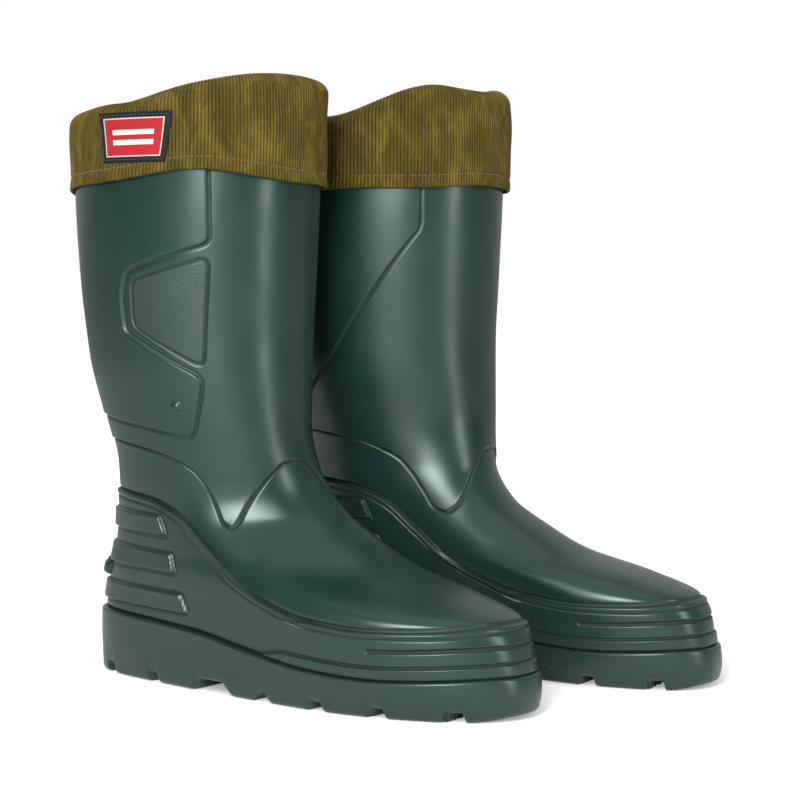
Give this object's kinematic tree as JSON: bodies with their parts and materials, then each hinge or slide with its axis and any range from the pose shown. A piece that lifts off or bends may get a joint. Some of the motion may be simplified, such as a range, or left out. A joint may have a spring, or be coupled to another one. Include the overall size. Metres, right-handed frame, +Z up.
{
  "type": "insulated hunting boots",
  "caption": "Pair of knee-length moulded foam boots with lift-out insulated liners and corduroy cuffs turned down over the shafts.",
  "frame": {"origin": "on the ground under the middle of the pair's bounding box", "axes": "+X towards the toes, +Y towards the wearer's left, +Z up"},
  "size_m": [0.3708, 0.2834, 0.372],
  "materials": {
    "eva": "dark green moulded EVA foam, satin",
    "insole": "dark grey foam insole with a needled fabric face",
    "felt": "grey needled felt",
    "foil": "thin metallised film",
    "foam": "soft open-cell foam",
    "fleece": "short pile fleece",
    "binding": "woven tape",
    "corduroy": "olive brown fine corduroy",
    "thread": "sewing thread",
    "label": "woven label, red with a black border"
  },
  "bodies": {
    "right_boot": {"right_shell": "eva", "right_liner_felt": "felt", "right_liner_foil": "foil", "right_liner_foam": "foam", "right_liner_fleece": "fleece", "right_insole": "insole", "right_binding": "binding", "right_cuff": "corduroy", "right_hem_stitch": "thread", "right_label": "label", "right_label_stitch": "thread"},
    "left_boot": {"left_shell": "eva", "left_liner_felt": "felt", "left_liner_foil": "foil", "left_liner_foam": "foam", "left_liner_fleece": "fleece", "left_insole": "insole", "left_binding": "binding", "left_cuff": "corduroy", "left_hem_stitch": "thread", "left_label": "label", "left_label_stitch": "thread"}
  },
  "joints": [
    {"name": "left_boot_lift", "type": "slide", "parent": "right_boot", "child": "left_boot", "axis": [0, 0, 1], "range_m": [0, 0.45]}
  ]
}
